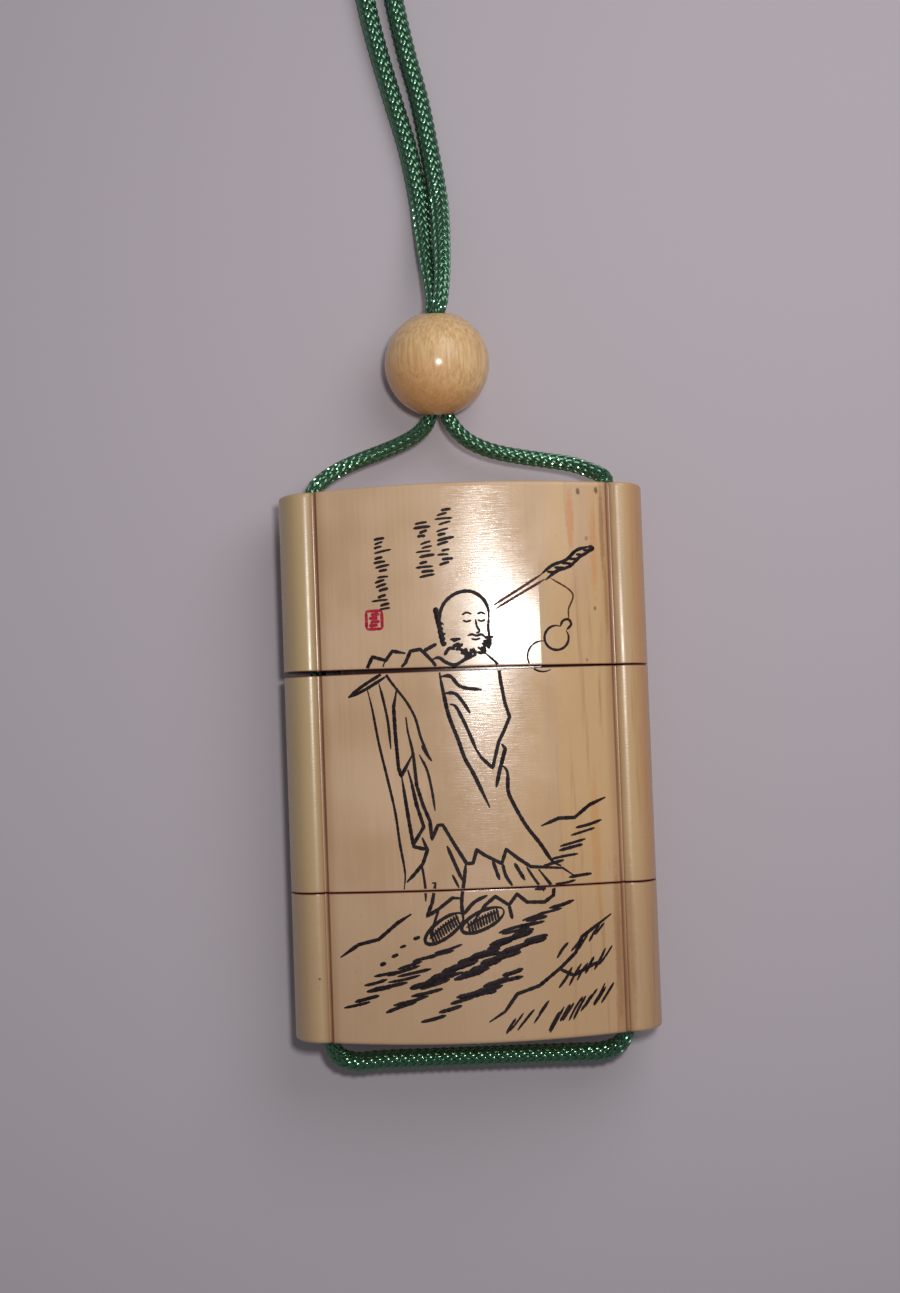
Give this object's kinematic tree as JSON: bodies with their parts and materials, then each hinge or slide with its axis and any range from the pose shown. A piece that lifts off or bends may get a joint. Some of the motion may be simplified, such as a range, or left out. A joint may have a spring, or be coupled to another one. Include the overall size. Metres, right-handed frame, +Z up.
{
  "type": "inro case",
  "caption": "Flat lens-shaped bone case in stacked sections with rounded side ribs, carried on a braided cord drawn together by a round bead.",
  "frame": {"origin": "on the ground under the middle of the case, which lies on its back", "axes": "+X to the right across the case, +Y along the case towards the lid and the bead, +Z up out of the engraved front"},
  "size_m": [0.0574, 0.2121, 0.02],
  "materials": {
    "bone": "gloss",
    "bead_bone": "gloss",
    "cord": "satin",
    "ink": "satin",
    "seal_red": "satin"
  },
  "bodies": {
    "root": {"lid": "bone", "middle_case": "bone", "bottom_case": "bone", "ojime_bead": "bead_bone", "cord_through_case": "cord", "cord_left": "cord", "cord_right": "cord", "cord_coil": "cord", "cord_knot": "cord"}
  },
  "joints": []
}
